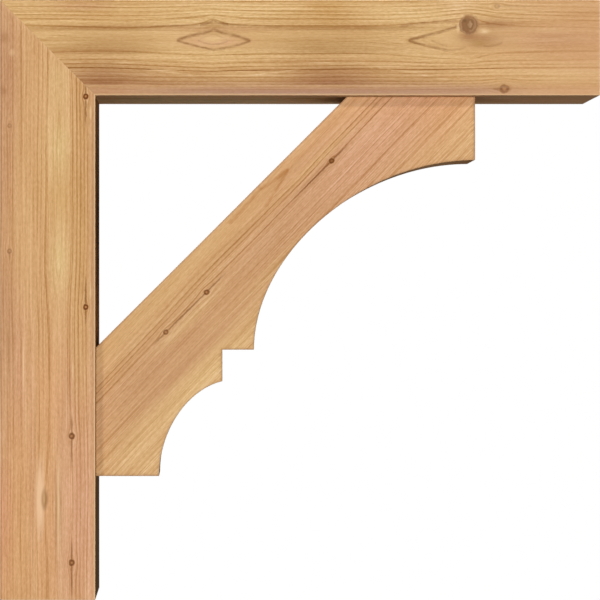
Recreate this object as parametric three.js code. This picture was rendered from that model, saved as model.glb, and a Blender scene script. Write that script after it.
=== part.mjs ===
// A timber corbel bracket in three pieces: an upright wall post and a level beam, mitred together at
// the outer corner, and a carved brace set between them.
// Millimetres, +Z up. The wall is the plane x = 0, the beam reaches out along +X, and y = 0 is the
// middle of the thickness. The origin is the middle of the post's back face, where the wall holds it.
import * as THREE from "three";

// Driving dimensions, dressed softwood sizes
const INCH = 25.4;
const REACH = 22 * INCH; // out from the wall to the beam's free end
const HEIGHT = 22 * INCH; // up the wall, from the post's foot to the beam's top
const TIMBER = 3.5 * INCH; // square section of the post and of the beam
const BRACE_THICKNESS = 2.25 * INCH; // centred, so it stands back from both faces of the frame
const BRACE_LEG = 14 * INCH; // along the post, and along the beam, from their inner corner
const BRACE_BACK = 9.25 * INCH; // from the inner corner to each end of the brace's straight back

// The carved edge is set out on a grid of sixths of the brace's leg
const GRID = BRACE_LEG / 6;
const END_WIDTH = GRID; // the square-cut ends that face down and out
const STEP_OUT = 2 * GRID; // the step's riser, out from the post
const STEP_TOP = 4 * GRID; // the step's tread, down from the beam
const STEP_SIZE = GRID / 2; // the step's rise and its run

// Each cove leaves its lower end upright and bends over to its upper end.
// A handle is the share of the cove's rise, or of its run, that the curve keeps its first direction.
const COVE_HANDLE = 0.51;
const LARGE_COVE_SLOPE = 0; // at the upper end, down for each unit out
const SMALL_COVE_SLOPE = 0.22;
const COVE_SEGMENTS = 48;

const TOP = HEIGHT / 2;
const FOOT = -HEIGHT / 2;

// Sawn and planed softwood, a little warmer in the brace
const postWood = new THREE.MeshStandardMaterial({ color: 0xd2a171, roughness: 0.62, metalness: 0 });
const beamWood = new THREE.MeshStandardMaterial({ color: 0xd4aa74, roughness: 0.62, metalness: 0 });
const braceWood = new THREE.MeshStandardMaterial({ color: 0xd0a070, roughness: 0.62, metalness: 0 });

// A side outline in x and z, as a shape
function outline(points) {
  return new THREE.Shape(points.map(([x, z]) => new THREE.Vector2(x, z)));
}

// A piece of constant thickness: its side outline, extruded and stood up about the plane y = 0
function slab(name, shape, thickness, material) {
  const geometry = new THREE.ExtrudeGeometry(shape, {
    depth: thickness,
    curveSegments: COVE_SEGMENTS,
    bevelEnabled: false,
  });
  const mesh = new THREE.Mesh(geometry, material);
  mesh.name = name;
  mesh.rotation.x = Math.PI / 2;
  mesh.position.y = thickness / 2;
  return mesh;
}

// The upright: its back lies on the wall, and its top is cut to the mitre
function wallPost() {
  const shape = outline([
    [0, FOOT],
    [TIMBER, FOOT],
    [TIMBER, TOP - TIMBER],
    [0, TOP],
  ]);
  return slab("wall_post", shape, TIMBER, postWood);
}

// The level arm: its inner end is cut to the mitre, and its outer end is square
function topBeam() {
  const shape = outline([
    [0, TOP],
    [TIMBER, TOP - TIMBER],
    [REACH, TOP - TIMBER],
    [REACH, TOP],
  ]);
  return slab("top_beam", shape, TIMBER, beamWood);
}

// Continues the path in a cove to the point (out, down), with both given from the frame's inner corner
function coveTo(path, place, from, to, slope) {
  const rise = from.down - to.down;
  const run = to.out - from.out;
  const lower = place(from.out, from.down - COVE_HANDLE * rise);
  const upper = place(to.out - COVE_HANDLE * run, to.down + COVE_HANDLE * run * slope);
  const end = place(to.out, to.down);
  path.bezierCurveTo(...lower, ...upper, ...end);
}

// The brace: a straight back at 45 degrees, and below it a small cove, a square step and a large cove
function carvedBrace() {
  const place = (out, down) => [TIMBER + out, TOP - TIMBER - down];
  const smallCoveFoot = { out: END_WIDTH, down: BRACE_LEG };
  const smallCoveHead = { out: STEP_OUT, down: STEP_TOP + STEP_SIZE };
  const largeCoveFoot = { out: STEP_OUT + STEP_SIZE, down: STEP_TOP };
  const largeCoveHead = { out: BRACE_LEG, down: END_WIDTH };

  const shape = new THREE.Shape();
  shape.moveTo(...place(0, BRACE_BACK));
  shape.lineTo(...place(0, BRACE_LEG));
  shape.lineTo(...place(smallCoveFoot.out, smallCoveFoot.down));
  coveTo(shape, place, smallCoveFoot, smallCoveHead, SMALL_COVE_SLOPE);
  shape.lineTo(...place(STEP_OUT, STEP_TOP));
  shape.lineTo(...place(largeCoveFoot.out, largeCoveFoot.down));
  coveTo(shape, place, largeCoveFoot, largeCoveHead, LARGE_COVE_SLOPE);
  shape.lineTo(...place(BRACE_LEG, 0));
  shape.lineTo(...place(BRACE_BACK, 0));
  shape.closePath();
  return slab("carved_brace", shape, BRACE_THICKNESS, braceWood);
}

const bracket = new THREE.Group();
bracket.add(wallPost(), topBeam(), carvedBrace());

export default bracket;
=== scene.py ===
import math
from dataclasses import dataclass, field

import bpy
import numpy as np
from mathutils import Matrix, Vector
from mathutils.geometry import delaunay_2d_cdt


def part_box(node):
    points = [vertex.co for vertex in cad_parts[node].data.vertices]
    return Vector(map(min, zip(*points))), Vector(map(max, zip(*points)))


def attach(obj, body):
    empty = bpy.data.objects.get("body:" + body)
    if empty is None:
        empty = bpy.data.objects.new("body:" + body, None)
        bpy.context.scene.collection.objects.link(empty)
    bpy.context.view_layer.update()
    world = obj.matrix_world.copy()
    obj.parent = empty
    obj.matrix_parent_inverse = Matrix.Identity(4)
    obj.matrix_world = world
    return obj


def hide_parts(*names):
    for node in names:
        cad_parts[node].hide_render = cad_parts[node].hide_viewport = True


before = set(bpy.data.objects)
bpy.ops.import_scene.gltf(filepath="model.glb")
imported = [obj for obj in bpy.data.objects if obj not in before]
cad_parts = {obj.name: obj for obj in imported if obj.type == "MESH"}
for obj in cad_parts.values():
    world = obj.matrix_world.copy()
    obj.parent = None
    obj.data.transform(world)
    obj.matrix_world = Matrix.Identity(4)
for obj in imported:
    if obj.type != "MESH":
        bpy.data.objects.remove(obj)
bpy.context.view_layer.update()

# A planed softwood corbel bracket: a wall post and a level beam, mitred together, and a carved brace.
# Sizes below are in millimetres, and meshes are made in metres.
MM = 0.001


def box_mm(node):
    """A node's lowest and highest corners, in millimetres."""
    low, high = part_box(node)
    return np.array(low) / MM, np.array(high) / MM


def add_object(name, data):
    item = bpy.data.objects.new(name, data)
    bpy.context.scene.collection.objects.link(item)
    return item


# Sizes taken from the frame
post_low, post_high = box_mm("wall_post")
_, beam_high = box_mm("top_beam")
brace_low, brace_high = box_mm("carved_brace")
TIMBER = post_high[0]
TOP = post_high[2]
FOOT = post_low[2]
REACH = beam_high[0]
FRAME_DEPTH = post_high[1] - post_low[1]
BRACE_DEPTH = brace_high[1] - brace_low[1]
BRACE_LEG = brace_high[0] - brace_low[0]

# The brace's carved edge, on a grid of sixths of its leg, as in the solids
GRID = BRACE_LEG / 6
BRACE_BACK = BRACE_LEG * 9.25 / 14
COVE_HANDLE = 0.51
LARGE_COVE_SLOPE = 0.0
SMALL_COVE_SLOPE = 0.22

# How the surfaces are made
EASE = 0.7  # radius of the sanded arrises
JOINT_EASE = 0.12  # where two timbers are glued and sanded flush
ARRIS_STEPS = 3
OUTLINE_STEP = 2.5
DEPTH_STEP = 3.0
GRID_ALONG = 4.0
GRID_ACROSS = 1.2
KNOT_GRID = 0.7
KNOT_REACH = 2.6  # how far the closer grid reaches, in radii of the knot
RIM_GAP = 0.6 * GRID_ACROSS  # kept free between a face's rim and the points inside it
CURVE_POINTS = 240
SHARP_ANGLE = math.radians(40)
NEARLY_STRAIGHT = 0.05  # the sine of a turn


# Outlines in x and z, counter-clockwise as seen from the front
@dataclass
class Edge:
    """One side of an outline. An eased side has sanded arrises, the other kind is shut in a joint.
    The stronger its painted edge shading, the more its arris's tint differs from the faces beside it: a
    painted highlight on the post and beam, painted shade on the brace."""

    points: np.ndarray
    eased: bool = True
    # how strongly the arris is painted: a painted highlight on the post and beam, painted shade on the
    # brace
    rub: float = 0.5


def straight(start, end, **finish):
    return Edge(np.array([start, end], float), **finish)


def cove(start, end, slope):
    """A hollow curve that leaves start upright and reaches end at that slope."""
    start, end = np.array(start, float), np.array(end, float)
    run, rise = end - start
    first = start + (0, COVE_HANDLE * rise)
    second = end - (COVE_HANDLE * run, COVE_HANDLE * run * slope)
    t = np.linspace(0, 1, CURVE_POINTS)[:, None]
    curve = (1 - t) ** 3 * start + 3 * t * (1 - t) ** 2 * first + 3 * t**2 * (1 - t) * second + t**3 * end
    return Edge(curve, rub=0.3)


def post_outline():
    return [
        straight((0, FOOT), (TIMBER, FOOT), rub=0.15),
        straight((TIMBER, FOOT), (TIMBER, TOP - TIMBER), rub=0.85),
        straight((TIMBER, TOP - TIMBER), (0, TOP), eased=False, rub=0.3),
        straight((0, TOP), (0, FOOT), rub=0.05),
    ]


def beam_outline():
    return [
        straight((0, TOP), (TIMBER, TOP - TIMBER), eased=False, rub=0.0),
        straight((TIMBER, TOP - TIMBER), (REACH, TOP - TIMBER), rub=0.5),
        straight((REACH, TOP - TIMBER), (REACH, TOP), rub=0.2),
        straight((REACH, TOP), (0, TOP), rub=0.0),
    ]


def brace_outline():
    def place(out, down):
        return TIMBER + out, TOP - TIMBER - down

    back_foot = place(0, BRACE_BACK)
    heel = place(0, BRACE_LEG)
    toe = place(GRID, BRACE_LEG)
    riser_foot = place(2 * GRID, 4.5 * GRID)
    riser_head = place(2 * GRID, 4 * GRID)
    tread_end = place(2.5 * GRID, 4 * GRID)
    nose_foot = place(BRACE_LEG, GRID)
    nose_head = place(BRACE_LEG, 0)
    back_head = place(BRACE_BACK, 0)
    return [
        straight(back_foot, heel, eased=False, rub=0.0),
        straight(heel, toe),
        cove(toe, riser_foot, SMALL_COVE_SLOPE),
        straight(riser_foot, riser_head),
        straight(riser_head, tread_end),
        cove(tread_end, nose_foot, LARGE_COVE_SLOPE),
        straight(nose_foot, nose_head),
        straight(nose_head, back_head, eased=False, rub=0.0),
        straight(back_head, back_foot),
    ]


def turned_left(vectors):
    """Each direction's left side, which faces into a counter-clockwise outline."""
    return np.stack([-vectors[..., 1], vectors[..., 0]], axis=-1)


def unit(vectors):
    return vectors / np.linalg.norm(vectors, axis=-1, keepdims=True)


def trimmed(points, at_start, at_end):
    """The run of points, shortened at both ends and spread at an even step."""
    lengths = np.linalg.norm(np.diff(points, axis=0), axis=1)
    run = np.concatenate([[0], np.cumsum(lengths)])
    length = run[-1] - at_start - at_end
    count = max(2, round(length / OUTLINE_STEP) + 1)
    at = np.linspace(at_start, run[-1] - at_end, count)
    return np.column_stack([np.interp(at, run, points[:, k]) for k in range(2)])


def corner_trim(before, after):
    """How much of each side a rounded corner takes: nothing at a joint or an inner corner."""
    arriving = unit(before.points[-1] - before.points[-2])
    leaving = unit(after.points[1] - after.points[0])
    turn = math.atan2(arriving[0] * leaving[1] - arriving[1] * leaving[0], arriving @ leaving)
    if turn <= 0 or not (before.eased and after.eased):
        return 0.0
    return EASE * math.tan(turn / 2)


def corner_arc(before, after):
    """The points between the ends of two sides, on an arc of the arris radius."""
    normals = turned_left(unit(np.array([before[-1] - before[-2], after[1] - after[0]])))
    centre = before[-1] + normals[0] * EASE
    shares = np.linspace(0, 1, ARRIS_STEPS + 1)[1:-1, None]
    return centre - unit(normals[0] * (1 - shares) + normals[1] * shares) * EASE


def outline_loop(edges):
    """The outline as one closed run of points, and the arris's radius and painted edge shading after each
    point.
    """
    count = len(edges)
    trims = [corner_trim(edges[i - 1], edges[i]) for i in range(count)]
    sides = [trimmed(edges[i].points, trims[i], trims[(i + 1) % count]) for i in range(count)]
    points, radii, rubs = [], [], []
    for i, side in enumerate(sides):
        following = (i + 1) % count
        stretches = len(side) - 1
        points.append(side[:-1])
        radii += [EASE if edges[i].eased else JOINT_EASE] * stretches
        rubs += [edges[i].rub] * stretches
        if trims[following] > 0:
            arc = corner_arc(side, sides[following])
            points += [side[-1:], arc]
            radii += [EASE] * (len(arc) + 1)
            rubs += [(edges[i].rub + edges[following].rub) / 2] * (len(arc) + 1)
    return np.vstack(points), np.array(radii), np.array(rubs)


def inset_by(loop, radii):
    """How each point moves when every stretch of the loop moves inwards by its own radius."""
    inward = turned_left(unit(np.roll(loop, -1, axis=0) - loop))
    before, after = np.roll(inward, 1, axis=0), inward
    first, second = np.roll(radii, 1), radii
    cross = before[:, 0] * after[:, 1] - before[:, 1] * after[:, 0]
    even = (before * first[:, None] + after * second[:, None]) / 2
    flat = np.abs(cross) < NEARLY_STRAIGHT
    safe = np.where(flat, 1, cross)
    x = (first * after[:, 1] - second * before[:, 1]) / safe
    z = (second * before[:, 0] - first * after[:, 0]) / safe
    return np.where(flat[:, None], even, np.column_stack([x, z]))


# Colours
def colour(red, green, blue):
    """A colour as seen on screen, from 0 to 255, as the linear values that Blender takes."""

    def linear(value):
        share = value / 255
        return share / 12.92 if share <= 0.04045 else ((share + 0.055) / 1.055) ** 2.4

    return linear(red), linear(green), linear(blue), 1.0


GOLD = colour(223, 179, 122)
APRICOT = colour(226, 168, 120)
CORAL = colour(226, 163, 124)
TAN = colour(220, 172, 121)
AMBER = colour(217, 170, 119)
OCHRE = colour(210, 163, 101)
PINK = colour(217, 166, 119)
BLUSH = colour(225, 172, 136)
ROSE = colour(200, 148, 109)
LIGHT = colour(235, 197, 140)
STRAW = colour(226, 190, 132)
CREAM = colour(240, 202, 153)
SHELL = colour(246, 202, 159)
FAWN = colour(194, 150, 95)
OLIVE = colour(183, 138, 82)
RUSSET = colour(166, 113, 72)
COPPER = colour(186, 126, 68)
DUSTY = colour(184, 139, 115)
SEPIA = colour(160, 114, 68)
UMBER = colour(92, 62, 35)
DARK = colour(130, 80, 38)
# painted shade colour for the beam's underside
UNDERSIDE_SHADE_GREY = colour(191, 178, 146)
END_TINT = colour(190, 152, 114)
# painted edge highlight for the post's and beam's arrises, painted edge shade for the brace's
PAINTED_EDGE_HIGHLIGHT = colour(240, 200, 150)
PAINTED_EDGE_SHADE = colour(170, 122, 84)


def stops(*rows):
    """A ramp's colours, each given as its place and its red, green and blue."""
    return [(place, colour(*shade)) for place, *shade in rows]


SMALL_KNOT = stops(
    (0.0, 196, 138, 84), (0.26, 178, 120, 68), (0.46, 116, 66, 30), (0.74, 120, 70, 33),
    (0.9, 152, 100, 57), (1.0, 188, 138, 90),
)
KNOT_BEFORE = stops(
    (0.0, 176, 136, 97), (0.2, 144, 101, 63), (0.5, 150, 107, 69), (0.66, 144, 101, 63),
    (0.83, 178, 135, 96), (0.93, 176, 132, 92), (1.0, 154, 110, 70),
)
KNOT_AFTER = stops(
    (0.0, 178, 138, 99), (0.22, 186, 146, 106), (0.33, 140, 98, 61), (0.44, 150, 108, 70),
    (0.56, 174, 132, 93), (0.72, 154, 111, 73), (0.83, 174, 131, 92), (1.0, 172, 128, 88),
)
KNOT_CAP = colour(172, 123, 79)
LARGE_KNOT_RADIUS = 5.0


# Grain and figure: what each timber's wood looks like, in millimetres along and across its grain
@dataclass
class Line:
    """A dark growth line, so far from the pith on the front face: before it (side -1) or after it (1)."""

    side: int
    distance: float
    dark: float
    width: float = 1.3


def growth_lines(side, *rows):
    """Lines on one side of the pith: each one's distance, darkness and, at times, width."""
    return [Line(side, *row) for row in rows]


@dataclass
class Knot:
    """A small branch cut across, with a thin dark streak that runs on before and after it."""

    along: float
    across: float
    radius: float
    dark: float = 1.0
    before: float = 0.0
    after: float = 0.0
    parts: float = 1.0  # how far it pushes the grain aside, as a share of its radius
    behind: bool = False


@dataclass
class Eye:
    """Where the rings dip by lift, so that lines bow apart and the innermost ones close round it."""

    along: float
    across: float
    length: float
    lift: float
    width: float = 30.0
    flat: int = 2
    after: float = 0.0  # its length beyond its middle, where that is another
    behind: bool = False


@dataclass
class Area:
    """A soft area, by its middle and by how far it reaches along and across the grain."""

    along: float
    across: float
    length: float
    width: float
    amount: float
    edge: int = field(default=0, kw_only=True)  # 1 where it ends sharply after its middle
    flat: int = field(default=2, kw_only=True)  # higher where it keeps its strength nearly to its edges


@dataclass
class Patch(Area):
    """An area of another colour under the grain: mostly the wood's own, in a few places painted shade or a
    painted highlight.
    """

    tint: tuple


@dataclass
class Streak(Patch):
    """A mark on the front face, over its grain, with a clearer edge than a patch."""


@dataclass
class Stroke:
    """A thin curved line on the front face, from one point to another along and across the grain."""

    along: float
    across: float
    to_along: float
    to_across: float
    bow: float  # how far its middle lies across the grain from the straight way
    width: float
    amount: float
    tint: tuple


def tinted(kind, tint, *rows, **shape):
    """Patches, streaks or strokes of one tint, each given as its other numbers."""
    return [kind(*row, tint, **shape) for row in rows]


def filled_later():
    return field(default_factory=list)


@dataclass
class Timber:
    """One piece: its form, its grain's directions in x and z, and the figure on its faces."""

    name: str
    node: str
    slot: str
    edges: list
    depth: float
    origin: tuple
    along: tuple
    across: tuple
    ground: tuple
    pith_across: float
    pith_deep: float
    line_gap: float
    seed: int
    arris: tuple
    pith_slope: float = 0.0
    lines: list = filled_later()
    knots: list = filled_later()
    eyes: list = filled_later()
    patches: list = filled_later()
    calm: list = filled_later()
    streaks: list = filled_later()
    strokes: list = filled_later()

    def flat(self, points):
        """Points in x and z, as lengths along and across the grain."""
        offset = points - np.array(self.origin)
        return np.column_stack([offset @ np.array(self.along), offset @ np.array(self.across)])

    def grain(self, points):
        """Points in x, y and z, as lengths along the grain, across it and in from the front face."""
        flat = self.flat(points[:, [0, 2]])
        return flat[:, 0], flat[:, 1], points[:, 1] + self.depth / 2


DIAGONAL = math.sqrt(0.5)

post = Timber(
    name="post_timber",
    node="wall_post",
    slot="post_wood",
    edges=post_outline(),
    depth=FRAME_DEPTH,
    origin=(0, TOP),
    along=(0, -1),
    across=(1, 0),
    ground=TAN,
    pith_across=55,
    pith_deep=34,
    line_gap=2.6,
    seed=11,
    arris=PAINTED_EDGE_HIGHLIGHT,
)
post.lines = growth_lines(
    -1,
    (3, 0.2, 2), (11.1, 0.6, 1.8), (15.7, 0.35), (19.5, 0.5, 1.8), (30.6, 0.25, 2),
    (35.3, 0.3, 2), (42.7, 0.3, 1.8), (45.5, 0.22), (48.3, 0.25), (51.1, 0.25), (53.9, 0.5),
)
post.lines += growth_lines(
    1,
    (11.8, 0.55, 2), (16.2, 0.65, 2), (19.6, 0.8, 1.8), (23.3, 0.4), (26.1, 0.5),
)
post.knots = [
    Knot(90, 80, 2.7, before=30, after=36),
    Knot(286, 80, 2.7, before=34, after=20),
    Knot(406, 67, 3, dark=0.85, before=26, after=34),
    Knot(524, 67, 3, dark=0.85, before=26, after=40),
    Knot(117, 9, 2.2, dark=0.3),
    Knot(234, 9, 2.4, dark=0.45, after=12),
    Knot(170, 24, 3, dark=0.8, before=20, after=20, behind=True),
    Knot(395, 61, 2.6, dark=0.8, before=20, after=20, behind=True),
]
post.eyes = [
    Eye(140, 57, 40, 0.4),
    Eye(250, 57, 34, 0.4),
    Eye(464, 38, 30, 1.2, width=9),
    Eye(300, 45, 50, 2, behind=True),
]
post.patches = [
    Patch(490, 35, 130, 60, 0.6, APRICOT, flat=4),
    Patch(165, 43, 95, 32, 0.5, GOLD, flat=4),
    Patch(365, 42, 50, 30, 0.35, APRICOT),
    Patch(345, 19, 60, 8, 0.65, BLUSH),
    Patch(310, 73, 60, 6, 0.35, LIGHT),
    *tinted(Patch, OCHRE, (510, 17, 60, 12, 0.3), (210, 77, 130, 9, 0.45)),
    *tinted(
        Patch, ROSE,
        (480, 58, 110, 6, 0.5), (430, 31, 130, 4, 0.35), (365, 65, 40, 5, 0.4),
        (60, 4, 70, 14, 0.95), (160, 4, 60, 10, 0.6), (300, 5, 80, 10, 0.85), (420, 3, 60, 6, 0.5),
        (250, 89, 400, 5, 0.7),
    ),
    Patch(490, 4, 55, 9, 0.65, CORAL),
    Patch(480, 76, 110, 18, 0.95, BLUSH),
    *tinted(Patch, STRAW, (77, 55, 22, 9, 0.5), (136, 56, 24, 9, 0.9)),
    Patch(186, 57, 24, 12, 0.6, OCHRE),
    Patch(242, 56, 28, 9, 0.85, STRAW),
    # painted shade on the post's inner side, between the beam and the brace
    Patch(215, 98, 125, 8, 0.95, UMBER),
]
post.calm = [
    Area(190, 57, 120, 7, 0.45),
    Area(240, 20, 25, 14, 0.4),
    Area(280, 45, 400, 70, 0.15),
]
post.streaks = [
    Streak(464, 37.6, 52, 6.6, 0.9, SHELL),
    *tinted(
        Streak, SEPIA,
        (465, 41.7, 14, 4.4, 0.9), (480, 52.3, 64, 1.4, 0.5), (480, 57.4, 56, 1.2, 0.3),
        (328, 8.2, 34, 1, 0.5),
    ),
    Streak(464, 41.1, 10, 1.9, 0.75, TAN),
    *tinted(
        Streak, CREAM,
        (470, 54.6, 66, 1.9, 0.7), (340, 21.9, 36, 0.9, 0.85), (345, 68, 14, 0.8, 0.8),
        (105, 84.5, 9, 1.6, 0.65), (272, 84.5, 10, 1.4, 0.55), (49, 11.3, 5, 4, 0.35),
    ),
    *tinted(Streak, RUSSET, (35, 4.5, 8, 7, 0.35), (85, 3, 5, 6, 0.4)),
]
post.strokes = [
    *tinted(
        Stroke, SEPIA,
        (430, 38.6, 464, 40.2, 0.2, 1.4, 0.4), (464, 40.2, 505, 38, 0.2, 1.4, 0.4),
    ),
]

beam = Timber(
    name="beam_timber",
    node="top_beam",
    slot="beam_wood",
    edges=beam_outline(),
    depth=FRAME_DEPTH,
    origin=(0, TOP),
    along=(1, 0),
    across=(0, -1),
    ground=GOLD,
    pith_across=37.6,
    pith_deep=35,
    line_gap=2.1,
    seed=23,
    arris=PAINTED_EDGE_HIGHLIGHT,
)
beam.lines = growth_lines(
    -1,
    (13.2, 0.65, 2), (19.3, 0.62), (22.9, 0.66), (25.8, 0.62), (31, 0.35, 2), (36.4, 0.7),
)
beam.lines += growth_lines(
    1,
    (12.2, 0.65, 2.4), (19.6, 0.55), (23.3, 0.7), (26.8, 0.8), (34.2, 0.3), (38.2, 0.5, 1.8),
    (40.8, 0.5), (46, 0.4),
)
beam.knots = [
    Knot(437, 22.8, 9.6, dark=0.95, parts=0.2),
    Knot(469.5, 83, 4.4, dark=0.55, before=14, after=8),
    Knot(463, 6, 2.6, dark=0.3, after=50),
    Knot(150, 58, 4, dark=0.8, before=20, after=20, behind=True),
]
beam.eyes = [
    Eye(198.5, 37.6, 35.4, 3.35, width=12, flat=4),
    Eye(198.5, 13, 50, 2.2, width=9),
    Eye(198.5, 20.5, 7, 2, width=5),
    Eye(198.5, 63, 42, 1.5, width=9),
    Eye(437, 37.6, 30, 6.2, width=19, flat=4, after=9),
    Eye(437, 9, 60, 2.2, width=9, after=40),
    Eye(330, 40, 60, 2.2, behind=True),
]
beam.patches = [
    *tinted(
        Patch, LIGHT,
        (200, 8, 400, 12, 0.35), (200, 14, 68, 15, 0.95), (388, 17, 50, 15, 0.9),
        (490, 14, 40, 7, 0.75),
    ),
    *tinted(Patch, OCHRE, (98, 8, 54, 14, 0.5), (307, 8, 26, 14, 0.75)),
    *tinted(Patch, FAWN, (97, 50, 54, 20, 0.95), (302, 50, 68, 20, 0.95), edge=1),
    *tinted(Patch, OLIVE, (96, 26.4, 66, 2.4, 0.9), (316, 26.4, 76, 2.4, 0.9), flat=6),
    *tinted(Patch, LIGHT, (160, 42, 18, 8, 0.3), (205, 52, 70, 6, 0.7), (396, 52, 30, 5, 0.5)),
    *tinted(Patch, ROSE, (79, 6, 26, 4, 0.5), (198.5, 26.5, 44, 4, 0.45)),
    *tinted(Patch, FAWN, (400, 42, 80, 6, 0.15), (198.5, 23.5, 9, 3.5, 0.9)),
    Patch(198.5, 38.2, 26, 5, 0.7, BLUSH),
    Patch(198.5, 36.6, 11, 3.4, 0.95, LIGHT),
    Patch(198.5, 31.4, 9, 2, 0.5, FAWN),
    *tinted(
        Patch, RUSSET,
        (94, 78.4, 44, 22, 0.9), (308, 78.4, 54, 22, 0.9), (170, 78.4, 90, 14, 0.45),
        (390, 78.4, 40, 18, 0.3),
        edge=1,
    ),
    *tinted(Patch, DUSTY, (280, 86, 260, 7, 0.95), (440, 86, 50, 6, 0.5)),
    Patch(100, 86, 40, 6, 0.7, ROSE),
    # painted highlight along the beam's lower front edge and the front of its underside
    Patch(280, 90, 300, 2, 0.3, LIGHT),
    Patch(560, 45, 95, 90, 0.9, PINK),
    Patch(512, 36, 45, 11, 0.5, ROSE),
    Patch(520, 71, 50, 7, 0.5, LIGHT),
    Patch(428, 6, 14, 7, 0.75, CREAM),
    *tinted(
        Patch, RUSSET,
        (460, 23, 22, 4.6, 0.65), (436, 33.5, 9, 4.5, 0.7), (449, 37, 18, 6.5, 0.6),
    ),
    Patch(446, 40.5, 8, 3.2, 0.8, OLIVE),
    Patch(451, 29, 4, 2.2, 0.9, CREAM),
    # painted shade: the beam's underside is tinted greyer towards the wall and redder towards its end, for
    # the colour of its shade
    Patch(240, 98, 190, 7, 0.9, UNDERSIDE_SHADE_GREY),
    Patch(500, 98, 90, 7, 0.9, APRICOT),
]
beam.calm = [
    Area(560, 45, 80, 70, 1),
    Area(97, 38, 60, 10, 0.6, flat=4),
    Area(305, 38, 60, 10, 0.6, flat=4),
    Area(280, 86, 400, 6.5, 0.9),
    Area(198.5, 37.6, 60, 9, 1, flat=4),
    Area(425, 37.6, 34, 10, 1, flat=4),
    Area(462, 38, 24, 14, 1),
]
beam.streaks = [
    Streak(432.8, 19.6, 2.8, 2.4, 0.35, UMBER),
    *tinted(
        Streak, CREAM,
        (426.4, 26.5, 2.2, 6.5, 0.6), (118, 58.6, 16, 0.8, 0.6), (300, 58.6, 22, 0.8, 0.6),
        (360, 61.8, 26, 0.8, 0.7), (150, 65.5, 22, 0.9, 0.6), (392, 66.8, 24, 0.9, 0.6),
        (480, 10.5, 26, 0.9, 0.6), (70, 58, 12, 0.8, 0.6),
    ),
]
beam.strokes = [
    # the eye left of the middle: its outline, the rings inside it, and the line that bows over it
    *tinted(
        Stroke, SEPIA,
        (164.5, 37.9, 190.5, 31.2, -0.9, 2.8, 0.85), (189.5, 31.4, 199.1, 27.6, 0.2, 2.4, 0.8),
        (199.1, 27.6, 210, 31.6, 0.2, 2.4, 0.8), (209, 31.4, 233.4, 38.3, -0.9, 2.8, 0.85),
        (164.5, 37.9, 199.1, 46.7, 0.5, 2, 0.8), (198.6, 46.7, 233.4, 38.3, 1, 2, 0.8),
        (184, 37.6, 212.5, 38.4, 3.4, 1.5, 0.4), (186, 36.4, 198.5, 32.4, -0.4, 1.4, 0.15),
        (198.5, 32.4, 211.5, 37, -0.4, 1.4, 0.2), (140, 24.7, 187, 23, 0.3, 1.8, 0.45),
        (186.3, 23.2, 199.1, 19.3, 0.6, 2.4, 0.75), (199.1, 19.3, 213, 23.2, 0.6, 2.4, 0.75),
        (212.3, 23, 262, 25, 0.3, 1.8, 0.45),
    ),
    # the eye beside the large knot, open towards the right
    *tinted(
        Stroke, SEPIA,
        (380.5, 37.8, 427, 24.6, 0.2, 2.6, 0.8), (380.5, 37.6, 398, 34.4, -0.8, 2.4, 0.5),
        (380.5, 38, 416.5, 46.9, 0.5, 2, 0.8), (416, 46.9, 434, 44, 0.8, 1.7, 0.4),
        (380.5, 38.2, 396, 41, 0.8, 1.8, 0.5), (401.5, 38, 416.5, 43.5, 0, 1.6, 0.4),
    ),
    *tinted(Stroke, RUSSET, (372, 24.6, 428, 19.6, -1, 3, 0.5)),
    *tinted(
        Stroke, SEPIA,
        (446, 22.8, 456, 22.4, 0, 1.4, 0.3), (450, 43, 468, 40, 1.2, 2, 0.4),
    ),
    # pale lines that sweep through the reddish wood below
    *tinted(
        Stroke, CREAM,
        (141, 64.4, 179, 70, 0.5, 1.5, 0.5), (233, 70, 279, 64.4, 0.5, 1.5, 0.5),
        (352, 63.4, 389, 67.2, 0.3, 1.5, 0.5), (389, 69, 419, 74.6, 0.3, 1.5, 0.4),
    ),
]

brace = Timber(
    name="brace_timber",
    node="carved_brace",
    slot="brace_wood",
    edges=brace_outline(),
    depth=BRACE_DEPTH,
    origin=(TIMBER, TOP - TIMBER - BRACE_BACK),
    along=(DIAGONAL, DIAGONAL),
    across=(DIAGONAL, -DIAGONAL),
    ground=AMBER,
    pith_across=11,
    pith_slope=-0.015,
    pith_deep=22,
    line_gap=2.2,
    seed=37,
    arris=PAINTED_EDGE_SHADE,
)
brace.lines = growth_lines(
    1,
    (10, 0.3), (15, 0.7), (18.7, 0.7), (25, 0.6), (45, 0.2, 0.9), (53.5, 0.15, 0.9),
    (64.5, 0.15, 0.9), (84.5, 0.12, 0.9),
)
brace.knots = [
    Knot(280, 32.5, 2.7, before=60, after=26),
    Knot(110, 36.5, 2.7, dark=0.85, before=52, after=30),
    Knot(56.5, 36.2, 2.7, dark=0.75, before=20, after=40),
    Knot(190, 45, 2.6, dark=0.8, before=20, after=20, behind=True),
]
brace.eyes = [
    Eye(246, 9, 34, 1),
]
brace.patches = [
    Patch(120, 9, 200, 11, 0.7, GOLD),
    Patch(290, 14, 100, 22, 0.5, APRICOT),
    Patch(315, 50, 110, 32, 0.9, BLUSH),
    Patch(270, 23, 45, 4, 0.45, LIGHT),
    *tinted(Patch, ROSE, (190, 45, 70, 22, 0.4), (20, 52, 100, 24, 0.55), (40, 71, 90, 6, 0.35)),
    Patch(390, 90, 60, 40, 0.5, APRICOT),
    *tinted(
        Patch, LIGHT,
        (400, 110, 50, 20, 0.4), (75, 44, 40, 5, 0.4), (50, 90, 80, 10, 0.8), (190, 68, 40, 6, 0.4),
        (60, 105, 40, 14, 0.45), (-40, 110, 50, 30, 0.4),
    ),
    *tinted(Patch, RUSSET, (255, 14, 40, 4, 0.2), (262, 33, 40, 4, 0.3)),
]
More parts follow.
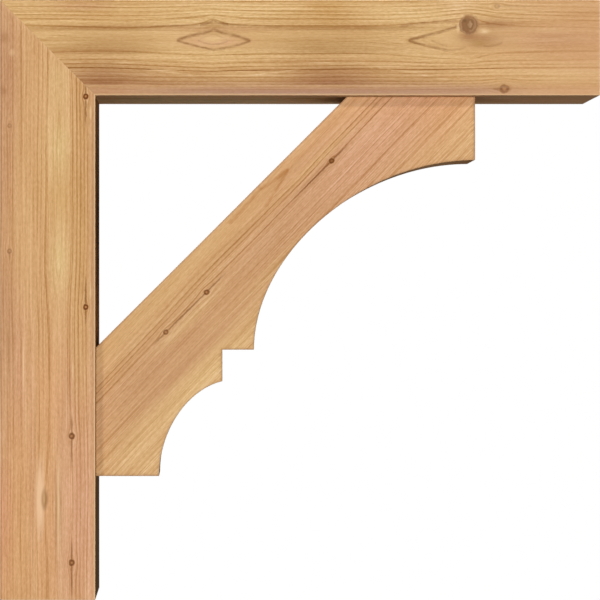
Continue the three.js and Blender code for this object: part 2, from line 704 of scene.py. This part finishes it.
brace.calm = [
    Area(200, 9, 900, 10, 0.6),
    Area(50, 70, 110, 30, 0.6),
]
brace.streaks = [
    *tinted(
        Streak, CREAM,
        (62, 98, 40, 0.9, 0.5), (180, 61, 40, 0.8, 0.4), (120, 74, 44, 0.8, 0.4),
        (300, 26, 40, 0.9, 0.4), (70, 32.5, 40, 0.9, 0.4), (55, 42, 9, 1.6, 0.5),
        (100, 43, 9, 1.6, 0.4), (400, 92, 40, 0.8, 0.5),
    ),
    Streak(280, 32.5, 2.4, 2.2, 0.7, DARK),
    Streak(238, 9.2, 11, 3.6, 0.5, COPPER),
]
brace.strokes = [
    # the flame near the upper end of the straight back
    *tinted(
        Stroke, COPPER,
        (170, 6.4, 216, 4.2, 0, 3, 0.65), (214, 4.2, 246, 9.2, 0.6, 2.6, 0.65),
        (205, 18.6, 246, 9.2, 0.8, 2.4, 0.6),
    ),
]

TIMBERS = [post, beam, brace]

GRAIN_FIELDS = ("along", "across", "deep", "lane", "side", "strand")
FIGURE_DEPTH = 26.0  # how far in from a face its eyes and knots reach
AREA_DRIFT = 0.18  # how far soft areas move across the grain, for each millimetre in from the front
SHARP_REACH = 0.8  # how far an area reaches beyond a sharp edge
CONE_SLOPE = 0.12  # gives the eyes sharp points along the grain
CONE_REACH = 15.0
KNOT_STRETCH = 1.8  # the grain parts round a knot over a longer run than its width
EYE_LANE = 4.0  # how wide the rings inside an eye are drawn, in millimetres for one of ring
EYE_DEPTH = 8.0  # how far in from the front face they are drawn so
RING_TAPER = 0.00025  # how far rings draw in along the timber, for each millimetre in from its front


def swell(distance, reach, flat=2):
    """1 in the middle, falling to nothing beyond the reach. A higher number gives a flatter top."""
    return np.exp(-np.abs(distance / reach) ** flat)


def near_face(feature, timber, deep):
    """1 at the face that shows the feature, falling away inside the timber."""
    return swell(timber.depth - deep if feature.behind else deep, FIGURE_DEPTH)


def parted(knot, timber, along, across, deep):
    """How far the grain is pushed aside by a knot."""
    u = (along - knot.along) / (KNOT_STRETCH * knot.radius)
    v = (across - knot.across) / knot.radius
    near = np.hypot(u, v)
    push = knot.parts * knot.radius * v / np.sqrt(near**2 + 0.2) * swell(near, 1.9)
    return push * near_face(knot, timber, deep)


def dipped(eye, timber, along, across, deep):
    """How far the rings are lowered by an eye."""
    ahead = along - eye.along
    length = np.where(ahead > 0, eye.after or eye.length, eye.length)
    dip = eye.lift * np.exp(-np.abs(ahead) / length)
    return dip * swell(across - eye.across, eye.width, eye.flat) * near_face(eye, timber, deep)


def level_ring(timber, distance, deep):
    """The growth ring at a distance from the pith, in millimetres, before any figure disturbs it."""
    ring = np.hypot(distance, deep - timber.pith_deep) - timber.pith_deep
    return ring + CONE_SLOPE * distance * np.exp(-distance / CONE_REACH)


def grain_fields(timber, along, across, deep):
    """(lane, side, strand): how far from the pith the undisturbed front face shows the ring that is here,
    which side of the pith this is, from -1 to 1, and the place across the grain of the fibres here, which
    part only at knots."""
    rng = np.random.default_rng(timber.seed)
    offset = across - timber.pith_across - timber.pith_slope * along
    for knot in timber.knots:
        offset = offset - parted(knot, timber, along, across, deep)
    ring = level_ring(timber, np.abs(offset), deep)
    strand = offset.copy()
    for wavelength, height in ((420, 0.35), (230, 0.25), (120, 0.12)):
        phase = rng.uniform(0, 2 * math.pi)
        wave = height * np.sin(2 * math.pi * along / wavelength + across / 31 + deep / 47 + phase)
        ring += wave
        strand += wave
    ring += RING_TAPER * along * deep
    for eye in timber.eyes:
        ring -= dipped(eye, timber, along, across, deep)
    table = np.linspace(0, 300, 3000)
    drawn = 1 + (EYE_LANE - 1) * swell(deep, EYE_DEPTH)
    lane = np.interp(ring, level_ring(timber, table, 0.0), table) + drawn * np.minimum(ring, 0)
    return lane, np.tanh(offset / 2.5), strand


def cover(area, along, across, deep):
    """How strongly a soft area shows. It drifts a little across the grain with depth."""
    drifted = across - area.across + AREA_DRIFT * deep
    reach = np.where(drifted * area.edge > 0, SHARP_REACH, area.width)
    return area.amount * swell(along - area.along, area.length) * swell(drifted, reach, area.flat)


def wood_colours(timber, along, across, deep):
    """The wood's colour at each point: its ground, with its patches laid over that in turn. A few patches
    are painted shade or a painted highlight on the beam's and post's sides and edges.
    """
    colours = np.tile(timber.ground, (len(along), 1))
    for patch in timber.patches:
        colours += (np.array(patch.tint) - colours) * cover(patch, along, across, deep)[:, None]
    return colours


# Meshes: a timber's two faces are triangulated on a grid that follows its grain
def clearance(points, loop):
    """The distance from each point to the outline, below 0 for points outside it."""
    nearest = np.full(len(points), np.inf)
    within = np.zeros(len(points), bool)
    for start, end in zip(loop, np.roll(loop, -1, axis=0)):
        side = end - start
        offset = points - start
        share = np.clip(offset @ side / (side @ side), 0, 1)
        nearest = np.minimum(nearest, np.linalg.norm(offset - share[:, None] * side, axis=1))
        # a line straight out from a point inside crosses an odd number of sides
        level = (offset[:, 1] < 0) != (points[:, 1] < end[1])
        turn = offset[:, 0] * side[1] - offset[:, 1] * side[0]
        within ^= level & (turn * side[1] < 0)
    return np.where(within, nearest, -nearest)


def lattice(low, high, steps, rng):
    """Points on a grid between two corners, each moved a little so that no four lie on a circle."""
    lines = [np.arange(low[k], high[k], steps[k]) for k in range(2)]
    points = np.stack(np.meshgrid(*lines, indexing="ij"), axis=-1).reshape(-1, 2)
    return points + rng.uniform(-0.2, 0.2, points.shape) * steps


def face_points(timber, loop):
    """Points inside a face, in x and z: a grid along the grain, closer at the knots."""
    rng = np.random.default_rng(timber.seed)
    flat_loop = timber.flat(loop)
    low, high = flat_loop.min(0), flat_loop.max(0)
    grid = lattice(low, high, np.array([GRID_ALONG, GRID_ACROSS]), rng)
    keep = np.ones(len(grid), bool)
    closer = []
    for knot in timber.knots:
        centre = np.array([knot.along, knot.across])
        reach = np.array([KNOT_STRETCH, 1]) * KNOT_REACH * knot.radius
        keep &= ~np.all(np.abs(grid - centre) < reach, axis=1)
        closer.append(lattice(centre - reach, centre + reach, np.array([1.5, 1]) * KNOT_GRID, rng))
    flat = np.vstack([grid[keep], *closer])
    flat = flat[clearance(flat, flat_loop) > RIM_GAP]
    return np.array(timber.origin) + flat[:, :1] * timber.along + flat[:, 1:] * timber.across


def face_triangles(timber, loop, inner):
    """Triangles over a face, counter-clockwise from the front: the loop's points come first."""
    points = np.vstack([loop, inner])
    flat = timber.flat(points) / (GRID_ALONG / GRID_ACROSS, 1)
    count = len(loop)
    rim = [(i, (i + 1) % count) for i in range(count)]
    inside_only = 1
    _, _, faces, sources, _, _ = delaunay_2d_cdt([Vector(p) for p in flat], rim, [], inside_only, 1e-6)
    triangles = np.array([[sources[corner][0] for corner in face] for face in faces])
    a, b, c = (points[triangles[:, k]] for k in range(3))
    clockwise = (b - a)[:, 0] * (c - a)[:, 1] < (b - a)[:, 1] * (c - a)[:, 0]
    triangles[clockwise] = triangles[clockwise][:, ::-1]
    return triangles


def at_depth(flat, y):
    """Points in x and z, set at a depth, or each at its own."""
    return np.column_stack([flat[:, 0], np.broadcast_to(y, len(flat)), flat[:, 1]])


def side_loops(timber, loop, radii):
    """Closed runs of points, one behind the other, from the front face's rim to the back's."""
    inset = inset_by(loop, radii)
    fall = np.minimum(np.roll(radii, 1), radii)
    half = timber.depth / 2
    front = []
    for angle in np.linspace(0, math.pi / 2, ARRIS_STEPS + 1):
        moved = loop + inset * (1 - math.sin(angle))
        front.append(at_depth(moved, fall * (1 - math.cos(angle)) - half))
    depths = np.linspace(EASE - half, half - EASE, round(timber.depth / DEPTH_STEP))
    depths[0] += EASE
    depths[-1] -= EASE
    between = [at_depth(loop, y) for y in depths]
    back = [ring * (1, -1, 1) for ring in reversed(front)]
    return front + between + back


def timber_faces(triangles, size, loops, inner):
    """Faces over the front and the back, and between each loop and the next. Points are numbered loop by
    loop, then inside the front and inside the back."""
    first_inner = size * loops
    on_rim = triangles < size
    front = np.where(on_rim, triangles, triangles - size + first_inner)
    back = np.where(on_rim, triangles + first_inner - size, triangles - size + first_inner + inner)
    here = np.arange(size)
    after = np.roll(here, -1)
    strip = np.column_stack([here, here + size, after + size, after])
    strips = [strip + k * size for k in range(loops - 1)]
    return [*front.tolist(), *back[:, ::-1].tolist(), *np.vstack(strips).tolist()]


RELIEF = 0.02
KNOT_RELIEF = 0.1


def relief(timber, along, across, deep, lane):
    """Fine relief of a planed and sanded face: hard lines stand proud, and knots a little more."""
    rng = np.random.default_rng(timber.seed + 1)
    height = RELIEF * np.sin(math.pi * lane / timber.line_gap)
    for wavelength in (90, 57, 31):
        phase = rng.uniform(0, 2 * math.pi, 2)
        height += RELIEF * np.sin(along / wavelength + phase[0]) * np.sin(across / 9 + deep / 11 + phase[1])
    for knot in timber.knots:
        near = np.hypot((along - knot.along) / 1.2, across - knot.across) / knot.radius
        height += KNOT_RELIEF * knot.dark * swell(near, 1.0) * near_face(knot, timber, deep)
    return height


def add_attribute(mesh, name, values, kind="FLOAT", item="value"):
    attribute = mesh.attributes.new(name, kind, "POINT")
    attribute.data.foreach_set(item, np.asarray(values, np.float32).ravel())


def build_timber(timber):
    """The piece's mesh, with its grain kept on it for the material."""
    loop, radii, rubs = outline_loop(timber.edges)
    size = len(loop)
    loops = side_loops(timber, loop, radii)
    rim = loops[0][:, [0, 2]]
    inner = face_points(timber, rim)
    half = timber.depth / 2
    points = np.vstack([*loops, at_depth(inner, -half), at_depth(inner, half)])

    mesh = bpy.data.meshes.new(timber.name)
    triangles = face_triangles(timber, rim, inner)
    faces = timber_faces(triangles, size, len(loops), len(inner))
    mesh.from_pydata((points * MM).tolist(), [], faces)
    mesh.update()

    place = timber.grain(points)
    lane, side, strand = grain_fields(timber, *place)
    shut = np.minimum(np.roll(radii, 1), radii) < EASE
    free = np.ones(len(points))
    free[: size * len(loops)] = np.tile(~shut, len(loops))
    normals = np.zeros(len(points) * 3, np.float32)
    mesh.vertices.foreach_get("normal", normals)
    height = relief(timber, *place, lane) * free
    raised = points + normals.reshape(-1, 3) * height[:, None]
    mesh.vertices.foreach_set("co", (raised * MM).astype(np.float32).ravel())

    # where the arrises take their painted highlight (post, beam) or painted shade (brace), and how strongly
    arris = np.zeros(len(points))
    for k in [*range(ARRIS_STEPS + 1), *range(len(loops) - ARRIS_STEPS - 1, len(loops))]:
        arris[k * size : (k + 1) * size] = np.maximum(np.roll(rubs, 1), rubs)
    for name, values in zip(GRAIN_FIELDS, (*place, lane, side, strand)):
        add_attribute(mesh, name, values)
    add_attribute(mesh, "calm", np.minimum(sum(cover(area, *place) for area in timber.calm), 1))
    add_attribute(mesh, "arris", arris)
    add_attribute(mesh, "wood", wood_colours(timber, *place), "FLOAT_COLOR", "color")

    mesh.shade_smooth()
    mesh.set_sharp_from_angle(angle=SHARP_ANGLE)
    return add_object(timber.name, mesh)


# Materials
class Value:
    """What a node gives out. Sums and products of values add the nodes that work them out."""

    def __init__(self, nodes, socket):
        self.nodes = nodes
        self.socket = socket

    def __add__(self, other):
        return self.nodes.math("ADD", self, other)

    def __sub__(self, other):
        return self.nodes.math("SUBTRACT", self, other)

    def __rsub__(self, other):
        return self.nodes.math("SUBTRACT", other, self)

    def __mul__(self, other):
        return self.nodes.math("MULTIPLY", self, other)

    def __truediv__(self, number):
        return self * (1 / number)

    def __pow__(self, power):
        return self.nodes.math("POWER", self, power)

    def __abs__(self):
        return self.nodes.math("ABSOLUTE", self)

    def swing(self, size):
        """Noise between 0 and 1, as a swing of that size about 0."""
        return self * size - size / 2

    def ranged(self, low, high, to_low=0.0, to_high=1.0):
        """Low to high mapped to another range, eased at both ends and held beyond them."""
        node = self.nodes.add("ShaderNodeMapRange", interpolation_type="SMOOTHSTEP")
        return self.nodes.filled(node, self, low, high, to_low, to_high)


class Nodes:
    """Short ways to add and link the nodes of a material. An input takes a Value or a constant."""

    def __init__(self, tree):
        self.tree = tree

    def add(self, kind, **settings):
        node = self.tree.nodes.new(kind)
        for name, value in settings.items():
            setattr(node, name, value)
        return node

    def put(self, value, socket):
        if isinstance(value, Value):
            self.tree.links.new(value.socket, socket)
        else:
            socket.default_value = value

    def filled(self, node, *values, output=0):
        """A node's output, once its inputs have taken the values in turn."""
        for value, socket in zip(values, node.inputs):
            self.put(value, socket)
        return Value(self, node.outputs[output])

    def named(self, node, values, output=0):
        """The same, with the inputs given by name."""
        for name, value in values.items():
            self.put(value, node.inputs[name])
        return Value(self, node.outputs[output])

    def attribute(self, name, output="Fac"):
        return self.filled(self.add("ShaderNodeAttribute", attribute_name=name), output=output)

    def math(self, operation, *values):
        return self.filled(self.add("ShaderNodeMath", operation=operation), *values)

    def vector(self, x, y, z):
        return self.filled(self.add("ShaderNodeCombineXYZ"), x, y, z)

    def length(self, x, y):
        node = self.add("ShaderNodeVectorMath", operation="LENGTH")
        return self.filled(node, self.vector(x, y, 0.0), output="Value")

    def noise(self, place, detail=2.0, roughness=0.5, dimensions="3D"):
        """Noise at a place, which is one number where the noise has one dimension."""
        node = self.add("ShaderNodeTexNoise", noise_dimensions=dimensions)
        where = "W" if dimensions == "1D" else "Vector"
        return self.named(node, {where: place, "Scale": 1.0, "Detail": detail, "Roughness": roughness})

    def ramp(self, value, stops):
        node = self.add("ShaderNodeValToRGB")
        elements = node.color_ramp.elements
        while len(elements) < len(stops):
            elements.new(0.5)
        for element, (position, shade) in zip(elements, stops):
            element.position = position
            element.color = shade
        return self.filled(node, value)

    def mix(self, factor, first, second, blend="MIX", kind="Color"):
        """The first turned to the second by the factor. Their kind is Color or Float."""
        data_type = "RGBA" if kind == "Color" else "FLOAT"
        node = self.add("ShaderNodeMix", data_type=data_type, blend_type=blend)
        sockets = {socket.identifier: socket for socket in [*node.inputs, *node.outputs]}
        self.put(factor, sockets["Factor_Float"])
        self.put(first, sockets["A_" + kind])
        self.put(second, sockets["B_" + kind])
        return Value(self, sockets["Result_" + kind])


LINE_END = 0.5  # how sharply a main growth line ends, in millimetres


def growth_line(position, at, width, sharp):
    """1 on a line that darkens slowly up to that position and ends sharply beyond it."""
    return position.ranged(at - width, at) * position.ranged(at, at + sharp, 1.0, 0.0)


class Wood(Nodes):
    """The nodes of one timber's material, with the grain's fields at hand as values."""

    def __init__(self, tree, timber):
        super().__init__(tree)
        self.timber = timber
        fields = [self.attribute(name) for name in GRAIN_FIELDS]
        self.along, self.across, self.deep, self.lane, self.side, self.strand = fields

    def grain_noise(self, length, width, number, detail=2.0, roughness=0.5):
        """Noise of that length and width along the fibres. Each number gives another pattern."""
        seed = self.timber.seed + 7.3 * number
        deep = self.deep * (0.4 / width) + seed
        place = self.vector(self.along / length + seed, self.strand / width + seed, deep)
        return self.noise(place, detail, roughness)

    def main_lines(self):
        """The dark growth lines that are set out one by one."""
        lane = self.lane + self.grain_noise(90, 9, 1).swing(1.2)
        total = 0.0
        for line in self.timber.lines:
            shape = growth_line(lane, line.distance, line.width, LINE_END)
            there = self.side.ranged(0.0, 0.7 * line.side, 0.0, line.dark)
            total = self.math("MAXIMUM", total, shape * there)
        return total * self.grain_noise(120, 4, 2).ranged(0.3, 0.62, 0.65, 1.0)

    def fine_lines(self):
        """The many weaker growth lines between the main ones, each as dark as chance has it.
        Below 0 is the pale wood that starts the next ring."""
        seed = self.timber.seed
        lane = self.lane + self.grain_noise(90, 5, 3).swing(1.0)
        jitter = self.noise(lane * 0.22 + seed, detail=1.0, dimensions="1D")
        count = lane / self.timber.line_gap + jitter.swing(2.6)
        share = self.math("FRACT", count)
        late = growth_line(share, 0.82, 0.45, 0.16)
        early = growth_line(share, 0.12, 0.12, 0.3)
        node = self.add("ShaderNodeTexWhiteNoise", noise_dimensions="1D")
        chance = self.named(node, {"W": self.math("FLOOR", count) + seed * 0.37}, "Value")
        strength = chance.ranged(0.2, 1.0, 0.05, 1.0)
        fade = self.grain_noise(80, 3, 4).ranged(0.3, 0.65, 0.3, 1.0)
        return (late - early * 0.45) * strength * fade

    def on_face(self, behind):
        """1 on the half of the timber that shows a feature, 0 on the other half."""
        middle = self.timber.depth / 2
        return self.deep.ranged(middle - 4, middle + 4, float(not behind), float(behind))

    def end_grain(self):
        """1 where a surface is cut across the grain, 0 where it runs along it."""
        node = self.add("ShaderNodeVectorMath", operation="DOT_PRODUCT")
        normal = self.filled(self.add("ShaderNodeNewGeometry"), output="Normal")
        grain = (self.timber.along[0], 0.0, self.timber.along[1])
        return abs(self.filled(node, normal, grain, output="Value")).ranged(0.3, 1.0)

    def offset_from(self, feature, length=1.0, width=1.0):
        """How far from a feature's middle, along and across the grain, in units of that size."""
        return (self.along - feature.along) / length, (self.across - feature.across) / width

    def add_streak(self, base, streak, face):
        spread = self.length(*self.offset_from(streak, streak.length, streak.width))
        return self.mix(spread.ranged(0.2, 1.0, streak.amount, 0.0) * face, base, streak.tint)

    def add_stroke(self, base, stroke, ragged, fade, face):
        share = (self.along - stroke.along) / (stroke.to_along - stroke.along)
        bend = share * (1 - share) * (4 * stroke.bow)
        level = share * (stroke.to_across - stroke.across) + stroke.across + bend
        away = self.across - level + ragged.swing(1.2)
        line = abs(away).ranged(0.0, stroke.width, stroke.amount, 0.0)
        run = share.ranged(-0.03, 0.05) - share.ranged(0.95, 1.03)
        return self.mix(line * fade * run * face, base, stroke.tint)

    def add_knot(self, base, knot, ragged, face):
        """The knot's rings over the base colour, and its dark streaks before and after it."""
        u, v = self.offset_from(knot)
        if knot.before or knot.after:
            before = u.ranged(-knot.before, -0.4 * knot.before) if knot.before else 0.0
            after = u.ranged(0.4 * knot.after, knot.after, 1.0, 0.0) if knot.after else 0.0
            run = self.mix(u.ranged(-0.5, 0.5), before, after, kind="Float")
            drift = abs(v + ragged.swing(1.6))
            line = drift.ranged(0.1, 0.3 * knot.radius + 0.4, 0.75 * knot.dark, 0.0)
            base = self.mix(line * run * face, base, DARK)
        distance = self.length(u * (0.88 / knot.radius), v / knot.radius) + ragged.swing(0.5)
        weight = distance.ranged(0.85, 1.15, knot.dark, 0.0) * face
        return self.mix(weight, base, self.ramp(distance, SMALL_KNOT))

    def add_large_knot(self, base, knot, ragged, face):
        """A round brown knot with a plain cap. Before its middle it has other rings and a clearer edge."""
        u, v = self.offset_from(knot, knot.radius, knot.radius)
        wobble = ragged.swing(0.4)
        distance = self.length(u, v) + wobble
        rings = self.length(u, v * 0.85) + wobble
        before, after = self.ramp(rings, KNOT_BEFORE), self.ramp(rings, KNOT_AFTER)
        shade = self.mix(u.ranged(-0.15, 0.15), before, after)
        shade = self.mix(v.ranged(-0.85, -0.4, 0.85, 0.0), shade, KNOT_CAP)
        solid = (u - v).ranged(-1.0, 0.6, 0.98, 0.72)
        return self.mix(distance.ranged(solid, 1.1, knot.dark, 0.0) * face, base, shade)


# How strongly each part of the grain shows in the wood's tone
FIBRE_TONE = 0.44
THREAD_TONE = 0.32
SPECK_TONE = 0.36
BROAD_TONE = 0.24
FINE_TONE = 0.27
MAIN_TONE = 0.48
DARKEST = 0.05
TONE_POWERS = (1.0, 1.5, 2.35)  # darker grain loses more green than red, and more blue than green


def grain_shade(wood, calm, main, fine, broad, fibre):
    """The grain as a shade to multiply the wood's own colour by."""
    thread = wood.grain_noise(160, 1.6, 7)
    speck = wood.grain_noise(3.5, 0.9, 8, detail=1.0)
    texture = fibre.swing(FIBRE_TONE) + thread.swing(THREAD_TONE) + speck.swing(SPECK_TONE)
    lines = broad.swing(BROAD_TONE) + fine * FINE_TONE + main * MAIN_TONE
    tone = texture * (1 - calm * 0.5) - lines + 1
    shade = wood.math("MAXIMUM", tone, DARKEST)
    return wood.vector(*(shade**power for power in TONE_POWERS))


def wood_material(timber):
    """Planed softwood: growth lines, fibres, warm and pale areas, knots, darker ends, painted shade on the
    beam's underside and the post's inner side, and painted highlights and shade along the arrises.
    """
    material = bpy.data.materials.new(timber.slot)
    material.use_nodes = True
    wood = Wood(material.node_tree, timber)

    ends = wood.end_grain()
    calm = wood.attribute("calm") * (1 - ends)
    main = wood.main_lines() * (1 - calm * 0.7)
    fine = wood.fine_lines() * (1 - calm)
    broad = wood.grain_noise(190, 6, 5, detail=3.0)
    fibre = wood.grain_noise(40, 0.8, 6, detail=3.0, roughness=0.6)
    cloud = wood.grain_noise(60, 18, 9)

    base = wood.attribute("wood", "Color")
    hue = broad * 0.6 + cloud * 0.4
    base = wood.mix(hue.ranged(0.48, 0.75, 0.0, 0.3), base, PINK)
    base = wood.mix(hue.ranged(0.25, 0.5, 0.2, 0.0), base, LIGHT)

    front, back = wood.on_face(behind=False), wood.on_face(behind=True)
    ragged = wood.noise(wood.vector(wood.along * 0.3, wood.across * 0.3, timber.seed))
    fade = wood.grain_noise(8, 4, 10).ranged(0.3, 0.62, 0.5, 1.0)
    for stroke in timber.strokes:
        base = wood.add_stroke(base, stroke, ragged, fade, front)
    base = wood.mix(1.0, base, grain_shade(wood, calm, main, fine, broad, fibre), blend="MULTIPLY")
    for knot in timber.knots:
        add = wood.add_knot if knot.radius < LARGE_KNOT_RADIUS else wood.add_large_knot
        base = add(base, knot, ragged, back if knot.behind else front)
    for streak in timber.streaks:
        base = wood.add_streak(base, streak, front)
    base = wood.mix(ends * 0.8, base, END_TINT, blend="MULTIPLY")
    # painted highlight along the post's and beam's arrises, painted shade along the brace's
    base = wood.mix(wood.attribute("arris"), base, timber.arris)

    rough = fibre * 0.16 + 0.66 - fine * 0.08
    bump = {"Strength": 0.35, "Distance": 0.1 * MM, "Height": fibre + main * 0.6}
    normal = wood.named(wood.add("ShaderNodeBump"), bump, "Normal")
    looks = {"Base Color": base, "Roughness": rough, "Specular IOR Level": 0.1, "Normal": normal}
    wood.named(material.node_tree.nodes["Principled BSDF"], looks)
    return material


for timber in TIMBERS:
    piece = build_timber(timber)
    piece.data.materials.append(wood_material(timber))
    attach(piece, "root")
    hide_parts(timber.node)


# Camera: square on to the front, level with the middle, and left of it, so the view is shifted
CAMERA_DISTANCE = 2030.0  # from the front face
CAMERA_ACROSS = 178.2  # from the wall
CAMERA_HEIGHT = -5.7
FRAME_WIDTH = 558.4  # the width of the picture at the front face
SENSOR = 36.0


def add_camera():
    data = bpy.data.cameras.new("camera")
    data.sensor_width = SENSOR
    data.lens = SENSOR * CAMERA_DISTANCE / FRAME_WIDTH
    data.shift_x = (REACH / 2 - CAMERA_ACROSS) / FRAME_WIDTH
    data.shift_y = ((TOP + FOOT) / 2 - CAMERA_HEIGHT) / FRAME_WIDTH
    data.clip_end = 100
    camera = add_object("camera", data)
    front = -FRAME_DEPTH / 2
    camera.location = Vector((CAMERA_ACROSS, front - CAMERA_DISTANCE, CAMERA_HEIGHT)) * MM
    camera.rotation_euler = (math.pi / 2, 0, 0)
    bpy.context.scene.camera = camera


# Light: most from straight ahead, a key from the upper left, and dimmer lamps behind and at the right
MIDDLE = Vector((REACH / 2, 0, 0)) * MM
LAMP_DISTANCE = 8.0


def add_lamp(name, azimuth, elevation, width, height, power):
    """A lamp aimed at the middle of the bracket. Azimuth 0 is in front and 90 on the right."""
    turn, rise = math.radians(azimuth), math.radians(elevation)
    towards = Vector((math.sin(turn) * math.cos(rise), -math.cos(turn) * math.cos(rise), math.sin(rise)))
    data = bpy.data.lights.new(name, "AREA")
    data.shape = "RECTANGLE"
    data.size = width
    data.size_y = height
    data.energy = power
    lamp = add_object(name, data)
    lamp.location = MIDDLE + towards * LAMP_DISTANCE
    lamp.rotation_euler = towards.to_track_quat("Z", "Y").to_euler()


SURROUND_BELOW = 0.3
SURROUND_LEVEL = 0.03
SURROUND_FADE = (-0.75, -0.35)  # from the one to the other, by the height of a direction


def add_world():
    """White behind the object, and a dim surround that is lighter below, as over a pale floor."""
    world = bpy.data.worlds.new("studio")
    world.use_nodes = True
    bpy.context.scene.world = world
    nodes = Nodes(world.node_tree)
    background = world.node_tree.nodes["Background"]
    direction = nodes.filled(nodes.add("ShaderNodeTexCoord"), output="Generated")
    height = nodes.filled(nodes.add("ShaderNodeSeparateXYZ"), direction, output="Z")
    surround = height.ranged(*SURROUND_FADE, SURROUND_BELOW, SURROUND_LEVEL)
    seen = nodes.filled(nodes.add("ShaderNodeLightPath"), output="Is Camera Ray")
    nodes.put(nodes.math("MAXIMUM", surround, seen), background.inputs["Color"])


FLOOR_SIZE = 120.0


def add_floor():
    """A white floor at the post's foot. Only the camera sees it, so it throws no light upwards."""
    half = FLOOR_SIZE / 2
    corners = [(-half, -half, 0), (half, -half, 0), (half, half, 0), (-half, half, 0)]
    mesh = bpy.data.meshes.new("floor")
    mesh.from_pydata(corners, [], [(0, 1, 2, 3)])
    floor = add_object("floor", mesh)
    floor.location = (0, 0, FOOT * MM)
    material = bpy.data.materials.new("floor")
    material.use_nodes = True
    nodes = Nodes(material.node_tree)
    white = nodes.filled(nodes.add("ShaderNodeEmission"))
    nodes.put(white, material.node_tree.nodes["Material Output"].inputs["Surface"])
    mesh.materials.append(material)
    floor.visible_diffuse = False
    floor.visible_glossy = False
    floor.visible_shadow = False


add_camera()
add_lamp("front", azimuth=-1, elevation=1, width=0.8, height=0.8, power=405)
add_lamp("key", azimuth=-25, elevation=29, width=1.1, height=1.1, power=162)
add_lamp("back", azimuth=205, elevation=35, width=4.0, height=4.0, power=560)
add_lamp("right", azimuth=90, elevation=55, width=0.1, height=1.6, power=420)
add_world()
add_floor()
bpy.context.scene.view_settings.view_transform = "Standard"
